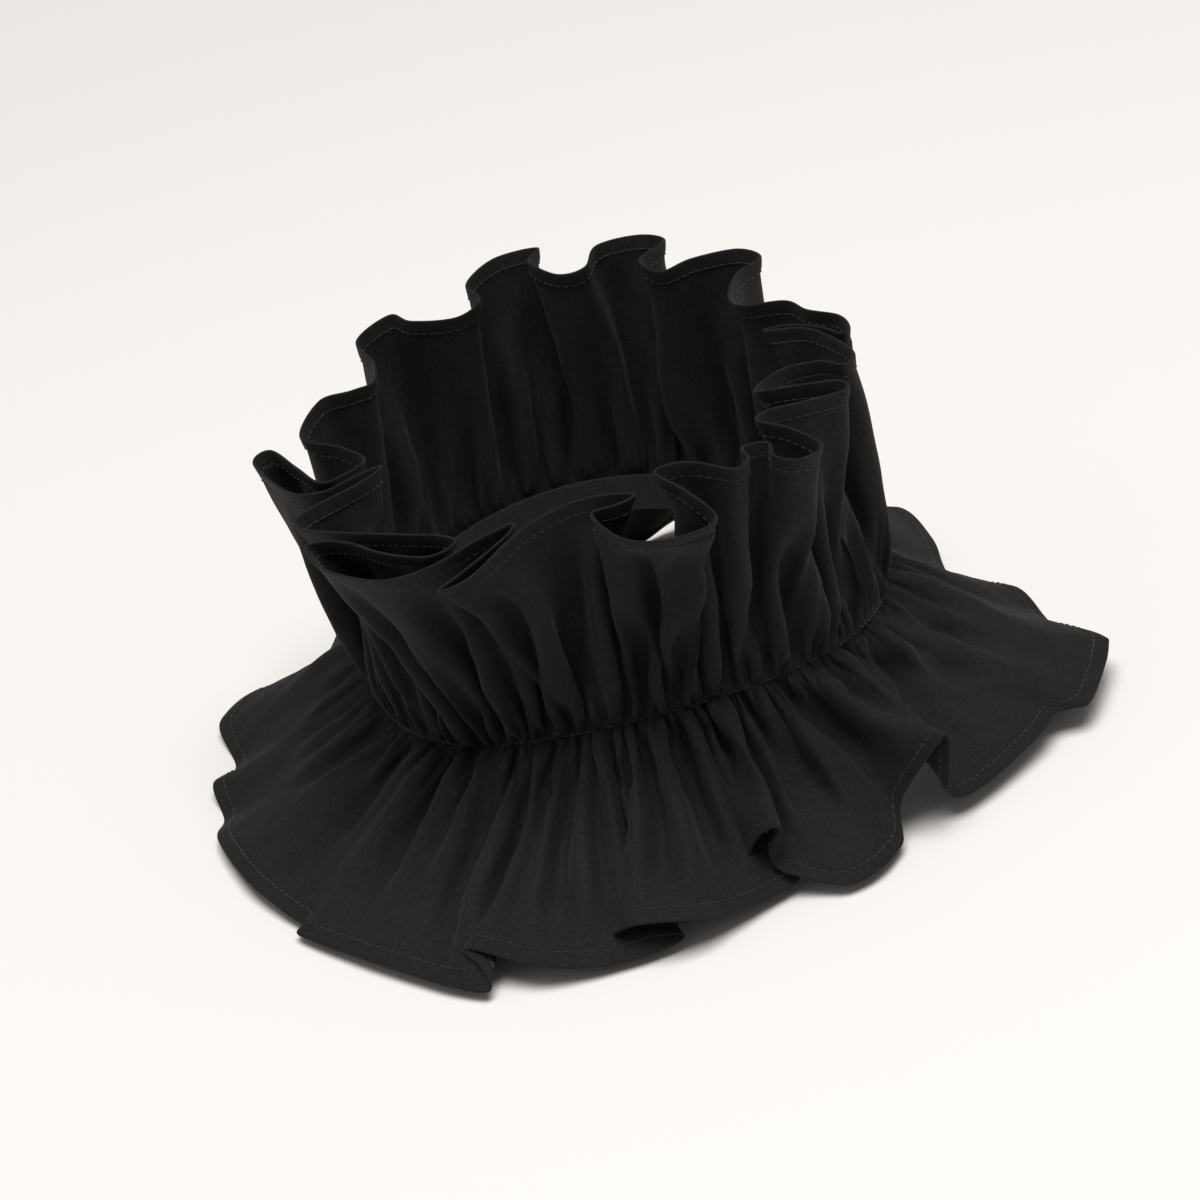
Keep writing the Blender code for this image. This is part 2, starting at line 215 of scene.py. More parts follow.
def smooth_loop(turns):
    """Closed Catmull-Rom curve through the turns of a hem."""
    before, after, beyond = np.roll(turns, 1, 0), np.roll(turns, -1, 0), np.roll(turns, -2, 0)
    t = np.linspace(0, 1, TURN_STEPS, endpoint=False)[None, :, None]
    p0, p1, p2, p3 = (p[:, None, :] for p in (before, turns, after, beyond))
    curve = 2 * p1 + (p2 - p0) * t + (2 * p0 - 5 * p1 + 4 * p2 - p3) * t ** 2
    curve = 0.5 * (curve + (3 * p1 - p0 - 3 * p2 + p3) * t ** 3)
    return curve.reshape(-1, turns.shape[1])


def even_columns(curve, count):
    """The same closed curve at evenly spaced columns, and its length."""
    step = np.linalg.norm(np.roll(curve, -1, 0) - curve, axis=1)
    place = np.concatenate([[0.0], np.cumsum(step)])
    closed = np.vstack([curve, curve[:1]])
    wanted = np.linspace(0, place[-1], count, endpoint=False)
    return np.stack([np.interp(wanted, place, closed[:, k]) for k in range(3)], axis=1), place[-1]


def upper_hem():
    """Hem of the standing frill; its height keeps the cloth's depth from seam to hem."""
    azimuth = np.radians(column(UPPER_HEM, UPPER_COLUMNS, "azimuth"))
    radius = column(UPPER_HEM, UPPER_COLUMNS, "radius") * MM
    lean = radius - seam_radius(azimuth)
    height = seam_height(azimuth) + np.sqrt(UPPER_DEPTH ** 2 - lean ** 2)
    return even_columns(smooth_loop(polar(azimuth, radius, height)), COLUMNS)


def lower_hem():
    """Hem of the flared frill, from its own heights."""
    azimuth = np.radians(column(LOWER_HEM, LOWER_COLUMNS, "azimuth"))
    radius = column(LOWER_HEM, LOWER_COLUMNS, "radius") * MM
    height = column(LOWER_HEM, LOWER_COLUMNS, "height") * MM
    return even_columns(smooth_loop(polar(azimuth, radius, height)), COLUMNS)


def along_waves(values, reach):
    """Values along the columns with every wave shorter than the reach faded, as a Gaussian does.

    reach is in columns and may differ from row to row.
    """
    spectrum = np.fft.rfft(values, axis=-2)
    wave = 2 * np.pi * np.arange(spectrum.shape[-2]) / values.shape[-2]
    fade = np.exp(-0.5 * (np.asarray(reach)[..., None] * wave) ** 2)
    return np.fft.irfft(spectrum * fade[..., None], n=values.shape[-2], axis=-2)


def strip_noise(wavelength, count, seed):
    """Periodic noise along the columns: thirty waves near one wavelength, in columns."""
    dice = np.random.RandomState(seed)
    turns = np.maximum(1, np.round(COLUMNS / (wavelength * dice.uniform(0.65, 1.6, (count, 30)))))
    start = dice.uniform(0, 2 * np.pi, (count, 30))
    column = np.arange(COLUMNS)[None, :, None] / COLUMNS
    waves = np.sin(2 * np.pi * turns[:, None, :] * column + start[:, None, :])
    return waves.sum(axis=2) / np.sqrt(15.0)


def seam_azimuths(hem):
    """Azimuth at which each column joins the seam: the hem's own with its folds spread out."""
    azimuth = np.unwrap(np.arctan2(hem[:, 0], -hem[:, 1]))
    even = azimuth[0] + 2 * np.pi * np.arange(COLUMNS) / COLUMNS
    spread = even + along_waves((azimuth - even)[:, None], COLUMNS / 24)[:, 0]
    return np.maximum.accumulate(spread)


def part_layers(surface):
    """Push layers of cloth that lie closer than the layer spacing apart, row by row.

    On a coarser set of columns, two points count as separate layers where the cloth between
    them is longer than twice the spacing. The moves are smoothed and carried to every column.
    """
    stride = COLUMNS // EASING_COLUMNS
    coarse = surface[:, ::stride].copy()
    before = coarse.copy()
    for row in coarse[2:]:
        step = np.linalg.norm(np.roll(row, -1, 0) - row, axis=1)
        place = np.concatenate([[0.0], np.cumsum(step)[:-1]])
        apart = np.abs(place[:, None] - place[None, :])
        separate = np.minimum(apart, step.sum() - apart) > 2.2 * LAYER_SPACING
        for _ in range(30):
            offset = row[:, None] - row[None, :]
            distance = np.linalg.norm(offset, axis=2) + np.eye(len(row))
            push = np.where(separate, np.clip(LAYER_SPACING - distance, 0, None), 0.0)
            if push.max() < 0.02 * MM:
                break
            shift = (offset * (push / distance)[:, :, None]).sum(axis=1)
            row += 0.1 * (shift + np.roll(shift, 1, 0) + np.roll(shift, -1, 0))
    moved = coarse - before
    moved[1:-1] = 0.25 * moved[:-2] + 0.5 * moved[1:-1] + 0.25 * moved[2:]
    fine = np.arange(COLUMNS) / stride
    knots = np.arange(EASING_COLUMNS + 1)
    closed = np.concatenate([moved, moved[:, :1]], axis=1)
    spread = [[np.interp(fine, knots, line[:, k]) for k in range(3)] for line in closed]
    return surface + np.moveaxis(np.array(spread), 1, 2)


def grid_frame(surface):
    """Unit vectors of a closed grid: along the strip, down to the hem, and out of its face."""
    along = np.roll(surface, -1, 1) - np.roll(surface, 1, 1)
    down = np.gradient(surface, axis=0)
    along /= np.linalg.norm(along, axis=2, keepdims=True)
    down /= np.linalg.norm(down, axis=2, keepdims=True)
    face = np.cross(along, down)
    return along, down, face / np.linalg.norm(face, axis=2, keepdims=True)


def row_depths(depth):
    """Distances of the rows from the seam: close together at the seam and at the hem."""
    near = np.array([0, 0.4, 0.8, 1.3, 1.9, 2.6, 3.4, 4.4, 5.6, 7.0, 8.6, 10.5, 12.6, 15.0]) * MM
    far = np.linspace(17.8 * MM, depth - 7.5 * MM, 15)
    hem = depth - np.array([5.6, 5.0, 4.6, 4.3, 4.0, 3.7, 2.8, 1.6, 0.7, 0.0]) * MM
    return np.concatenate([near, far, hem])


def gather_relief(distance, depth, gathers):
    """How far the gathers lift the cloth off its smooth surface.

    Each set is the absolute sine of a wandering phase, so ridges are round and valleys sharp,
    times a height that varies along the strip, times a rise and fall with distance from the
    seam whose length varies from gather to gather.
    """
    relief = np.zeros((len(distance), COLUMNS))
    share = (distance / depth)[:, None]
    for count, height, highest, end, seed in gathers:
        wander, vary, reach, slant = strip_noise(COLUMNS / count * 2.5, 4, seed)
        phase = np.pi * count * np.arange(COLUMNS) / COLUMNS + 0.9 * wander + 1.6 * slant * share
        ridge = np.abs(np.sin(phase)) - 0.64
        length = (end - highest) * MM * (1 + 0.4 * np.clip(reach, -1.6, 1.8))
        past = np.clip(distance[:, None] - highest * MM, 0, None) / length
        rise = np.clip(distance[:, None] / (highest * MM), 0, 1)
        relief += height * MM * ridge * rise * np.exp(-2.5 * past ** 2) * (1 + 0.4 * vary)
    return relief


def sideways(values, step):
    """The same grid moved round the strip by some columns."""
    return np.roll(values, -step, axis=1)


def fading_hem(hem, share, length, short_folds):
    """The hem as each row follows it: its folds open out further towards the seam.

    Short folds give way to the broadest run of the hem within their share of the depth.
    """
    rows = np.repeat(hem[None], len(share), 0)
    hems = along_waves(rows, (1 - share) * FOLD_SPREAD * COLUMNS / length)
    broad = along_waves(rows, np.full(len(share), 20 * MM * COLUMNS / length))
    azimuth = np.arctan2(hem[:, 0], -hem[:, 1])
    for middle, half_width, reach in short_folds:
        near = np.exp(-((azimuth - np.radians(middle)) / np.radians(half_width)) ** 4)
        gone = np.clip((1 - share) / reach, 0, 1)
        gone = gone * gone * (3 - 2 * gone)
        hems = hems + (broad - hems) * (gone[:, None] * near[None, :])[:, :, None]
    return hems


def crease_relief(distance, azimuth, creases):
    """Height that the listed creases add.

    Each is a rounded ridge or trough, exp(-(x / width)^2), where x is the distance round the
    neck to a line between its ends, times a smooth rise and fall between those ends.
    """
    relief = np.zeros((len(distance), COLUMNS))
    for start, near, end, far, width, height in creases:
        run = (distance / MM - near) / (far - near)
        line = np.radians(start + (end - start) * run)
        turn = (azimuth[None] - line[:, None] + np.pi) % (2 * np.pi) - np.pi
        section = np.exp(-(turn * NECK_HALF_WIDTH / (width * MM)) ** 2)
        along = np.sin(np.pi * np.clip(0.08 + 0.84 * run, 0, 1)) ** 0.8
        relief += height * MM * section * (along * (run > -0.09) * (run < 1.09))[:, None]
    return relief


def dents(distance, length, seed):
    """Soft uneven dents of handled cotton: sixty long waves in all directions."""
    dice = np.random.RandomState(seed)
    relief = np.zeros((len(distance), COLUMNS))
    place = np.arange(COLUMNS)[None] / COLUMNS
    for _ in range(60):
        wave, slope, start = dice.uniform(9, 26), dice.uniform(-1, 1), dice.uniform(0, 2 * np.pi)
        around = round(length / (wave * MM))
        relief += np.sin(2 * np.pi * (around * place + slope * distance[:, None] / (14 * MM)) + start)
    return relief / np.sqrt(60)


def settle(surface, seeds, distance, length, upright):
    """Let the cloth take up its true fullness, so that it buckles into gathers of its own.

    The seam and the hem stay where they are. Each pass pulls every cell towards the width that
    the strip has there and the height that the row spacing gives, evens out what the gathers
    add to the folds, keeps neighbouring gathers a cloth's thickness apart, and keeps each frill
    on its own side of the seam. Moves carry some of the last pass's speed, so they swing out.
    """
    cloth = surface + seeds
    speed = np.zeros_like(cloth)
    cell = length / COLUMNS
    tall = np.linalg.norm(np.diff(cloth, axis=0), axis=2)
    now = np.linalg.norm(sideways(cloth, 1) - cloth, axis=2).mean(axis=1)
    near_seam = np.exp(-distance / (9 * MM))
    full = cell * np.maximum(now / cell, FULLNESS - (FULLNESS - SEAM_FULLNESS) * near_seam)
    limp = np.clip(distance / LIMP_REACH, 0.1, 1)[:, None, None]
    above, below = np.diff(distance)[:-1, None, None], np.diff(distance)[1:, None, None]
    azimuth = np.arctan2(cloth[:, :, 0], -cloth[:, :, 1])
    ring, rim, low = seam_radius(azimuth), seam_height(azimuth), distance < SEAM_ZONE
    for turn in range(SETTLE_PASSES):
        want = now + (full - now) * min(1.0, (turn + 1) / (0.6 * SETTLE_PASSES))
        across = sideways(cloth, 1) - cloth
        pull = across * (0.5 - 0.5 * want[:, None] / np.linalg.norm(across, axis=2))[:, :, None]
        move = pull - sideways(pull, -1)
        down = cloth[1:] - cloth[:-1]
        pull = down * (0.5 - 0.5 * tall / np.linalg.norm(down, axis=2))[:, :, None]
        move[:-1] += pull
        move[1:] -= pull
        lift = cloth - surface
        for reach, stiffness in BENDING:
            bend = 0.5 * (sideways(lift, reach) + sideways(lift, -reach)) - lift
            move += stiffness * limp * (bend - 0.5 * (sideways(bend, reach) + sideways(bend, -reach)))
        bend = (below * lift[:-2] + above * lift[2:]) / (above + below) - lift[1:-1]
        move[1:-1] += 0.3 * bend
        move[:-2] -= 0.15 * bend
        move[2:] -= 0.15 * bend
        if turn % 3 == 0:
            for step in range(4, 30):
                gap = sideways(cloth, step) - cloth
                apart = np.linalg.norm(gap, axis=2)
                push = gap * (0.3 * np.clip(GATHER_SPACING - apart, 0, None) / apart)[:, :, None]
                move += sideways(push, -step) - push
        speed = CARRIED_SPEED * speed + MOVE_GAIN * move
        speed[0] = 0
        speed[-4:] = 0
        cloth += speed
        out = np.hypot(cloth[:, :, 0], cloth[:, :, 1])
        inward = np.clip(ring - 0.8 * MM - out, 0, None) * low[:, None]
        cloth[:, :, :2] *= (1 + inward / out)[:, :, None]
        limit = 0.35 * MM + 0.2 * np.clip(out - ring, 0, 6 * MM)
        cross = np.clip(limit - upright * (cloth[:, :, 2] - rim), 0, None) * low[:, None]
        cloth[1:, :, 2] += upright * cross[1:]
    return cloth


def frill_surface(hem, length, depth, flare, upright, short_folds, creases):
    """Middle surface of a frill: rows from the seam to the hem, columns along the strip.

    Each column runs from its seam point to its hem point. The plan moves by the share of the
    depth to the power of flare, so the cloth leaves the seam upright; folds open out towards
    the seam; gathers and creases start it buckling, and it then settles to its full width.
    Last come the finest gathers at the seam, the set of the listed creases and the dents of
    handled cotton.
    """
    distance = row_depths(depth)
    share = distance / depth
    hems = fading_hem(hem, share, length, short_folds)
    azimuth = seam_azimuths(hem)
    start = polar(azimuth, seam_radius(azimuth), seam_height(azimuth) + upright * 0.35 * MM)
    rows = share[:, None, None]
    surface = start + (hems - start) * np.concatenate([rows ** flare, rows ** flare, rows], axis=2)
    surface = part_layers(surface)
    _, _, face = grid_frame(along_waves(surface, np.full(len(share), 2.0)))
    face = along_waves(face, 3.0 + 6 * (1 - share))
    face /= np.linalg.norm(face, axis=2, keepdims=True)
    laid = crease_relief(distance, azimuth, creases)
    lift = gather_relief(distance, depth, GATHERS) + laid
    cloth = settle(surface, upright * face * lift[:, :, None], distance, length, upright)
    _, _, face = grid_frame(along_waves(cloth, np.full(len(share), 1.5)))
    free = np.clip(distance / (3 * MM), 0, 1) * np.clip((depth - distance) / (8 * MM), 0, 1)
    fine = dents(distance, length, 31 + upright) * (DENT_HEIGHT * free)[:, None]
    fine += gather_relief(distance, depth, CRIMPS) + CREASE_SET * laid
    return cloth + upright * face * fine[:, :, None], distance


# ---------------------------------------------------------------- meshes

def hem_profile(distance, depth):
    """Section of the cloth: its right side out to the hem, round the fold, and its wrong side back.

    Each point has a row, a height off the middle surface and a reach past the hem. The hem is
    turned to the wrong side, so that side steps out at the hem's inner edge, and both sides dip
    at the line of stitches.
    """
    back = depth - distance
    turned = np.clip((HEM_WIDTH + 0.25 * MM - back) / (0.4 * MM), 0, 1)
    dip = np.exp(-((back - STITCH_INSET) / (0.45 * MM)) ** 2)
    right = CLOTH_HALF + 0.08 * MM * turned - 0.14 * MM * dip
    wrong = -(CLOTH_HALF + 0.36 * MM * turned - 0.16 * MM * dip)
    rows = np.arange(len(distance))
    turn = np.radians([60, 20, -20, -60])
    middle, half = 0.5 * (right[-1] + wrong[-1]), 0.5 * (right[-1] - wrong[-1])
    row = np.concatenate([rows, np.full(4, rows[-1]), rows[::-1]])
    side = np.concatenate([right, middle + half * np.sin(turn), wrong[::-1]])
    reach = np.concatenate([0 * right, half * np.cos(turn), 0 * wrong])
    return row, side, reach


def closed_grid(name, points, uv=None):
    """Mesh of a grid that closes on itself both ways, with a UV map in metres."""
    rows, columns = points.shape[:2]
    r, c = np.meshgrid(np.arange(rows), np.arange(columns), indexing="ij")
    r2, c2 = (r + 1) % rows, (c + 1) % columns
    quads = np.stack([r * columns + c, r2 * columns + c, r2 * columns + c2, r * columns + c2], axis=-1)
    mesh = bpy.data.meshes.new(name)
    mesh.from_pydata(points.reshape(-1, 3), [], quads.reshape(-1, 4))
    if uv is not None:
        u, v, length = uv
        corner_u = np.stack([u[c], u[c], u[c] + length / columns, u[c] + length / columns], axis=-1)
        corner_v = np.stack([v[r], v[r2], v[r2], v[r]], axis=-1)
        layer = mesh.uv_layers.new(name="cloth")
        layer.data.foreach_set("uv", np.stack([corner_u, corner_v], axis=-1).ravel())
    mesh.polygons.foreach_set("use_smooth", np.ones(len(mesh.polygons), dtype=bool))
    mesh.update()
    return mesh


def add_piece(name, mesh, material):
    """Object at the origin that rides on the collar's one body."""
    mesh.materials.append(material)
    piece = bpy.data.objects.new(name, mesh)
    bpy.context.scene.collection.objects.link(piece)
    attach(piece, "root")
    return piece


def outward(mesh):
    """Turn a closed mesh's faces outwards if its signed volume is negative."""
    mesh.calc_loop_triangles()
    count = len(mesh.vertices)
    points = np.empty(3 * count)
    mesh.vertices.foreach_get("co", points)
    corners = np.empty(3 * len(mesh.loop_triangles), dtype=np.int64)
    mesh.loop_triangles.foreach_get("vertices", corners)
    a, b, c = np.moveaxis(points.reshape(-1, 3)[corners.reshape(-1, 3)], 1, 0)
    if (a * np.cross(b, c)).sum() < 0:
        mesh.flip_normals()
    return mesh


def make_frill(name, hem, length, depth, flare, upright, folds, material):
    """Both faces and the turned hem of one frill, as one closed shell."""
    surface, distance = frill_surface(hem, length, depth, flare, upright, *folds)
    _, down, face = grid_frame(surface)
    row, side, reach = hem_profile(distance, depth)
    points = surface[row] + upright * face[row] * side[:, None, None] + down[row] * reach[:, None, None]
    u = np.arange(COLUMNS) * length / COLUMNS
    mesh = closed_grid(name, points, (u, distance[row] + reach, length))
    piece = add_piece(name, outward(mesh), material)
    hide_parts(name.replace("_frill", "_ruffle"))
    return piece, surface, distance


# ---------------------------------------------------------------- stitches

STITCH_PITCH = 2.7 * MM
STITCH_SHARE = 0.78
THREAD_HALF = 0.16 * MM
RIGHT_SIDE = 0.16 * MM
WRONG_SIDE = -0.5 * MM


def stitch_run(name, path, outwards, pitch, material):
    """Short threads along a closed path, each one diving into the cloth at both ends.

    A stitch's middle line is the path lifted by a flat-topped hump along its length; its round
    section is a hexagon across that line.
    """
    following = np.roll(path, -1, 0)
    place = np.concatenate([[0.0], np.cumsum(np.linalg.norm(following - path, axis=1))])
    count = int(round(place[-1] / pitch))
    dice = np.random.RandomState(count)
    t = np.linspace(-1, 1, 6)
    spread = dice.uniform(0.9, 1.06, count)[:, None]
    centre = (np.arange(count) + 0.5 + dice.uniform(-0.05, 0.05, count))[:, None]
    wanted = (centre + 0.5 * STITCH_SHARE * spread * t) * place[-1] / count % place[-1]
    line = np.stack([np.interp(wanted, place, np.append(path[:, k], path[0, k])) for k in range(3)], axis=-1)
    up = [np.interp(wanted, place, np.append(outwards[:, k], outwards[0, k])) for k in range(3)]
    up = np.stack(up, axis=-1)
    up /= np.linalg.norm(up, axis=2, keepdims=True)
    lift = THREAD_HALF * (1.1 - 2.6 * np.abs(t) ** 4)
    line = line + up * lift[None, :, None]
    ahead = np.gradient(line, axis=1)
    ahead /= np.linalg.norm(ahead, axis=2, keepdims=True)
    across = np.cross(ahead, up)
    across /= np.linalg.norm(across, axis=2, keepdims=True)
    turn = np.linspace(0, 2 * np.pi, 6, endpoint=False)
    round_ = (across[:, :, None] * np.cos(turn)[:, None] + up[:, :, None] * np.sin(turn)[:, None])
    points = line[:, :, None] + THREAD_HALF * round_
    rings, sides = len(t), len(turn)
    base = np.arange(count)[:, None, None] * rings * sides
    ring = np.arange(rings - 1)[None, :, None] * sides
    side = np.arange(sides)[None, None, :]
    nxt = (side + 1) % sides
    quads = np.stack([base + ring + side, base + ring + nxt, base + ring + sides + nxt,
                      base + ring + sides + side], axis=-1).reshape(-1, 4)
    ends = np.concatenate([base[:, 0] + side[0, :, ::-1], base[:, 0] + (rings - 1) * sides + side[0]])
    mesh = bpy.data.meshes.new(name)
    mesh.from_pydata(points.reshape(-1, 3), [], quads.tolist() + ends.tolist())
    mesh.polygons.foreach_set("use_smooth", np.ones(len(mesh.polygons), dtype=bool))
    mesh.update()
    return add_piece(name, outward(mesh), material)


def hem_stitches(name, surface, distance, depth, upright, height, material):
    """One line of stitches on one face of a frill, a stitch inset from the hem's edge."""
    row = int(np.abs(distance - (depth - STITCH_INSET)).argmin())
    _, _, face = grid_frame(surface)
    return stitch_run(name, surface[row] + upright * height * face[row],
                      np.sign(height) * upright * face[row], STITCH_PITCH, material)


# ---------------------------------------------------------------- materials

def shader_of(name, roughness, sheen):
    """New material, its node tree and its shader."""
    material = bpy.data.materials.new(name)
    material.use_nodes = True
    tree = material.node_tree
    shader = tree.nodes["Principled BSDF"]
    shader.inputs["Roughness"].default_value = roughness
    shader.inputs["Sheen Weight"].default_value = sheen
    shader.inputs["Sheen Roughness"].default_value = 0.5
    shader.inputs["Specular IOR Level"].default_value = 0.25
    return material, tree, shader


def node(tree, kind, inputs=None, **settings):
    """Add a node, set its properties, and set or link its inputs by name or number."""
    made = tree.nodes.new(kind)
    for key, value in settings.items():
        setattr(made, key, value)
    for key, value in (inputs or {}).items():
        if isinstance(value, bpy.types.NodeSocket):
            tree.links.new(value, made.inputs[key])
        else:
            made.inputs[key].default_value = value
    return made


def maths(tree, operation, first, second=0.0):
    """Result of one sum."""
    return node(tree, "ShaderNodeMath", {0: first, 1: second}, operation=operation).outputs[0]


def cotton(name, dark, pale, thread_pitch, sheen):
    """Plain-weave cotton on the cloth's own UV map, in metres.

    Warp and weft are two sines at right angles; long thin noise along each thread makes slubs,
    and broad noise makes the dye a little uneven.
    """
    material, tree, shader = shader_of(name, 0.82, sheen)
    cloth = node(tree, "ShaderNodeUVMap", uv_map="cloth").outputs[0]
    place = node(tree, "ShaderNodeSeparateXYZ", {0: cloth})
    turn = 2 * np.pi / thread_pitch
    warp = maths(tree, "SINE", maths(tree, "MULTIPLY", place.outputs[0], turn))
    weft = maths(tree, "SINE", maths(tree, "MULTIPLY", place.outputs[1], turn))
    weave = maths(tree, "MULTIPLY", warp, weft)
    slubs = []
    for stretch in ((180.0, 2600.0, 1.0), (2600.0, 180.0, 1.0)):
        stretched = node(tree, "ShaderNodeMapping", {"Vector": cloth, "Scale": stretch}).outputs[0]
        noise = node(tree, "ShaderNodeTexNoise", {"Vector": stretched, "Scale": 1.0, "Detail": 2.0})
        slubs.append(noise.outputs[0])
    slub = maths(tree, "ADD", slubs[0], slubs[1])
    broad = node(tree, "ShaderNodeTexNoise", {"Vector": cloth, "Scale": 38.0, "Detail": 3.0}).outputs[0]
    tone = maths(tree, "MULTIPLY_ADD", weave, 0.16)
    tone.node.inputs[2].default_value = 0.0
    tone = maths(tree, "ADD", tone, maths(tree, "MULTIPLY", slub, 0.7))
    tone = maths(tree, "ADD", tone, maths(tree, "MULTIPLY", broad, 0.35))
    grain = node(tree, "ShaderNodeTexNoise", {"Vector": cloth, "Scale": 1100.0, "Detail": 2.0}).outputs[0]
    tone = maths(tree, "ADD", tone, maths(tree, "MULTIPLY", grain, 0.8))
    ramp = node(tree, "ShaderNodeMapRange", {"Value": tone, "From Min": 1.02, "From Max": 1.53})
    colour = node(tree, "ShaderNodeMix", {"Factor": ramp.outputs[0], "A": dark, "B": pale}, data_type="RGBA")
    mixed = [socket for socket in colour.outputs if socket.type == "RGBA"][0]
    tree.links.new(mixed, shader.inputs["Base Color"])
    height = maths(tree, "ADD", maths(tree, "MULTIPLY", weave, 0.5), slub)
    bump = node(tree, "ShaderNodeBump", {"Strength": 0.35, "Distance": 0.12 * MM, "Height": height})
    tree.links.new(bump.outputs[0], shader.inputs["Normal"])
    return material


def thread(name, colour):
    """Sewing thread: a little glossier than the cotton, with a fine twist."""
    material, tree, shader = shader_of(name, 0.6, 0.3)
    place = node(tree, "ShaderNodeTexCoord").outputs["Object"]
    noise = node(tree, "ShaderNodeTexNoise", {"Vector": place, "Scale": 2500.0, "Detail": 1.0}).outputs[0]
    paler = [3 * c for c in colour[:3]] + [1.0]
    mix = node(tree, "ShaderNodeMix", {"Factor": noise, "A": colour, "B": paler}, data_type="RGBA")
    tree.links.new([s for s in mix.outputs if s.type == "RGBA"][0], shader.inputs["Base Color"])
    return material


# ---------------------------------------------------------------- pieces

def make_casing(material):
    """Band inside the seam, gathered a little by its elastic: a rounded section round the ring."""
    azimuth = np.linspace(0, 2 * np.pi, 720, endpoint=False)
    low, high = -9 * MM, 3 * MM
    rise = np.concatenate([np.linspace(low, high, 14), np.linspace(high, low, 14)])
    side = np.concatenate([np.full(14, 0.35), np.full(14, -0.35)]) * MM
    side[[0, 13, 14, 27]] *= 0.5
    ripple = 0.25 * MM * np.abs(np.sin(48 * azimuth + 2 * np.sin(3 * azimuth)))
    radius = seam_radius(azimuth) - 2.4 * MM - ripple
    points = polar(azimuth[None], radius[None] + side[:, None], seam_height(azimuth)[None] + rise[:, None])
    mesh = closed_grid("casing", points, (azimuth * NECK_HALF_WIDTH, rise, 2 * np.pi * NECK_HALF_WIDTH))
    piece = add_piece("casing", outward(mesh), material)
    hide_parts("neck_casing")
    return piece


def make_seam(cloth, sewing):
    """Narrow seam between the frills, with its one line of stitches.

    The seam is a half round, slightly crimped, carried round the ring: its face stands out by
    the cosine of its angle above and below the middle.
    """
    azimuth = np.linspace(0, 2 * np.pi, COLUMNS, endpoint=False)
    turn = np.linspace(-np.pi, np.pi, 12, endpoint=False)[:, None]
    crimp = 0.12 * MM * np.abs(np.sin(86 * azimuth + 2 * np.sin(5 * azimuth) + np.sin(13 * azimuth)))
    radius = seam_radius(azimuth) - 0.35 * MM + crimp + 0.75 * MM * np.cos(turn)
    height = seam_height(azimuth) + 0.75 * MM * np.sin(turn)
    points = polar(azimuth[None] + 0 * turn, radius, height)
    around = (azimuth * NECK_HALF_WIDTH, turn[:, 0] * 0.75 * MM, 2 * np.pi * NECK_HALF_WIDTH)
    add_piece("neck_seam", outward(closed_grid("neck_seam", points, around)), cloth)
    ring = polar(azimuth, seam_radius(azimuth) + 0.46 * MM, seam_height(azimuth))
    stitch_run("seam_stitches", ring, polar(azimuth, 1.0 + 0 * azimuth, 0 * azimuth), 2.4 * MM, sewing)


def make_collar():
    """Both frills, their stitches, the neck seam's stitches and the casing."""
    black = cotton("black_cotton", (0.0012, 0.0012, 0.0014, 1), (0.0118, 0.0117, 0.0112, 1), 0.5 * MM, 0.035)
    inner = cotton("casing_cotton", (0.008, 0.008, 0.008, 1), (0.02, 0.02, 0.02, 1), 0.6 * MM, 0.1)
    sewing = thread("black_thread", (0.0075, 0.0075, 0.0075, 1))
    hem, length = upper_hem()
    upper, surface, distance = make_frill("upper_frill", hem, length, UPPER_DEPTH, UPPER_FLARE, 1,
                                          (UPPER_SHORT, UPPER_CREASES), black)
    hem_stitches("upper_hem_stitches", surface, distance, UPPER_DEPTH, 1, RIGHT_SIDE, sewing)
    hem_stitches("upper_hem_stitches_inside", surface, distance, UPPER_DEPTH, 1, WRONG_SIDE, sewing)
    make_seam(black, sewing)
    hem, length = lower_hem()
    lower, surface, distance = make_frill("lower_frill", hem, length, LOWER_DEPTH, LOWER_FLARE, -1,
                                          (LOWER_SHORT, LOWER_CREASES), black)
    hem_stitches("lower_hem_stitches", surface, distance, LOWER_DEPTH, -1, RIGHT_SIDE, sewing)
    hem_stitches("lower_hem_stitches_under", surface, distance, LOWER_DEPTH, -1, WRONG_SIDE, sewing)
    make_casing(inner)


# ---------------------------------------------------------------- stage, light and camera

def plain_material(name, colour, roughness):
    """Even matt finish for the stage."""
    material = bpy.data.materials.new(name)
    material.use_nodes = True
    shader = material.node_tree.nodes["Principled BSDF"]
    shader.inputs["Base Color"].default_value = colour
    shader.inputs["Roughness"].default_value = roughness
    return material


FLOOR_REACH = 3.0
FLOOR_FADE = (0.6, 1.6)
ROOM_LIGHT = 0.26
ROOM_SEEN = 0.94


def fading_floor():
    """Pale floor that turns clear further out, by a smooth step of the distance from the origin."""
    material = plain_material("pale_floor", (0.86, 0.84, 0.82, 1), 0.9)
    tree = material.node_tree
    place = node(tree, "ShaderNodeTexCoord").outputs["Object"]
    far = node(tree, "ShaderNodeVectorMath", {0: place}, operation="LENGTH").outputs["Value"]
    limits = {"Value": far, "From Min": FLOOR_FADE[0], "From Max": FLOOR_FADE[1]}
    fade = node(tree, "ShaderNodeMapRange", limits, interpolation_type="SMOOTHSTEP").outputs[0]
    clear = node(tree, "ShaderNodeBsdfTransparent").outputs[0]
    floor = tree.nodes["Principled BSDF"].outputs[0]
    mixed = node(tree, "ShaderNodeMixShader", {0: fade, 1: floor, 2: clear}).outputs[0]
    tree.links.new(mixed, tree.nodes["Material Output"].inputs["Surface"])
    return material


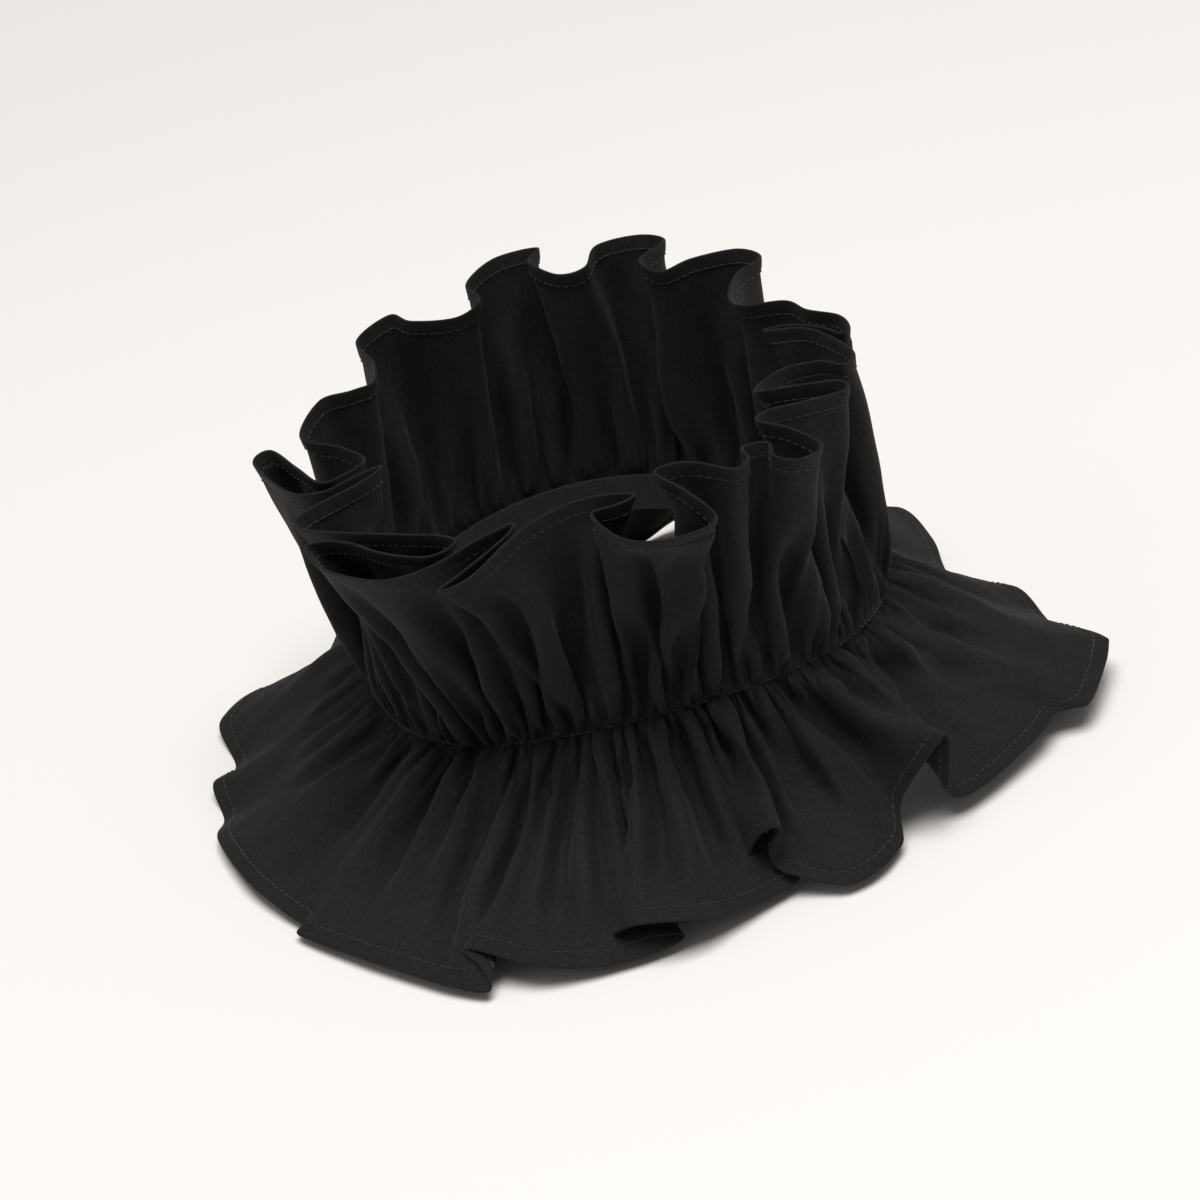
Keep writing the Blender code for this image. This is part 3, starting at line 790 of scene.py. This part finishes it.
def make_floor(height):
    """Pale floor just under the lower frill."""
    mesh = bpy.data.meshes.new("floor")
    sides = ((-1, -1), (1, -1), (1, 1), (-1, 1))
    corners = [(FLOOR_REACH * x, FLOOR_REACH * y, height) for x, y in sides]
    mesh.from_pydata(corners, [], [(0, 1, 2, 3)])
    mesh.materials.append(fading_floor())
    floor = bpy.data.objects.new("floor", mesh)
    bpy.context.scene.collection.objects.link(floor)


def area_light(name, place, size, power, colour):
    """Soft square lamp aimed at the collar."""
    lamp = bpy.data.lights.new(name, "AREA")
    lamp.size = size
    lamp.energy = power
    lamp.color = colour
    light = bpy.data.objects.new(name, lamp)
    light.location = place
    light.rotation_euler = (-Vector(place)).to_track_quat("-Z", "Y").to_euler()
    bpy.context.scene.collection.objects.link(light)


def make_light():
    """Large lamp overhead, a weaker one in front, and a dim room that looks pale."""
    area_light("overhead", (0.5, -0.35, 2.85), 2.1, 93, (1.0, 0.985, 0.965))
    area_light("front", (-2.0, -2.4, 2.0), 2.2, 4, (1.0, 0.99, 0.98))
    world = bpy.data.worlds.new("room")
    world.use_nodes = True
    tree = world.node_tree
    back = tree.nodes["Background"]
    back.inputs["Color"].default_value = (1.0, 0.975, 0.945, 1)
    seen = node(tree, "ShaderNodeLightPath").outputs["Is Camera Ray"]
    strength = maths(tree, "MULTIPLY_ADD", seen, ROOM_SEEN - ROOM_LIGHT)
    strength.node.inputs[2].default_value = ROOM_LIGHT
    tree.links.new(strength, back.inputs["Strength"])
    bpy.context.scene.world = world
    bpy.context.scene.view_settings.view_transform = "Standard"


def make_camera():
    """Long lens over the collar's front left, tilted a little about its own axis."""
    azimuth, rise, roll, distance = np.radians(35), np.radians(27), np.radians(11), 1.25
    towards = Vector((np.sin(azimuth) * np.cos(rise), -np.cos(azimuth) * np.cos(rise), np.sin(rise)))
    lens = bpy.data.cameras.new("camera")
    lens.lens = 124.5
    lens.sensor_width = 36
    lens.shift_x = -22 / 1200
    lens.shift_y = 10 / 1200
    lens.clip_end = 50
    camera = bpy.data.objects.new("camera", lens)
    aim = towards.to_track_quat("Z", "Y").to_matrix().to_4x4()
    camera.matrix_world = Matrix.Translation(towards * distance) @ aim @ Matrix.Rotation(-roll, 4, "Z")
    bpy.context.scene.collection.objects.link(camera)
    bpy.context.scene.camera = camera


make_collar()
make_floor(cad_box[0][2] - 1 * MM)
make_light()
make_camera()
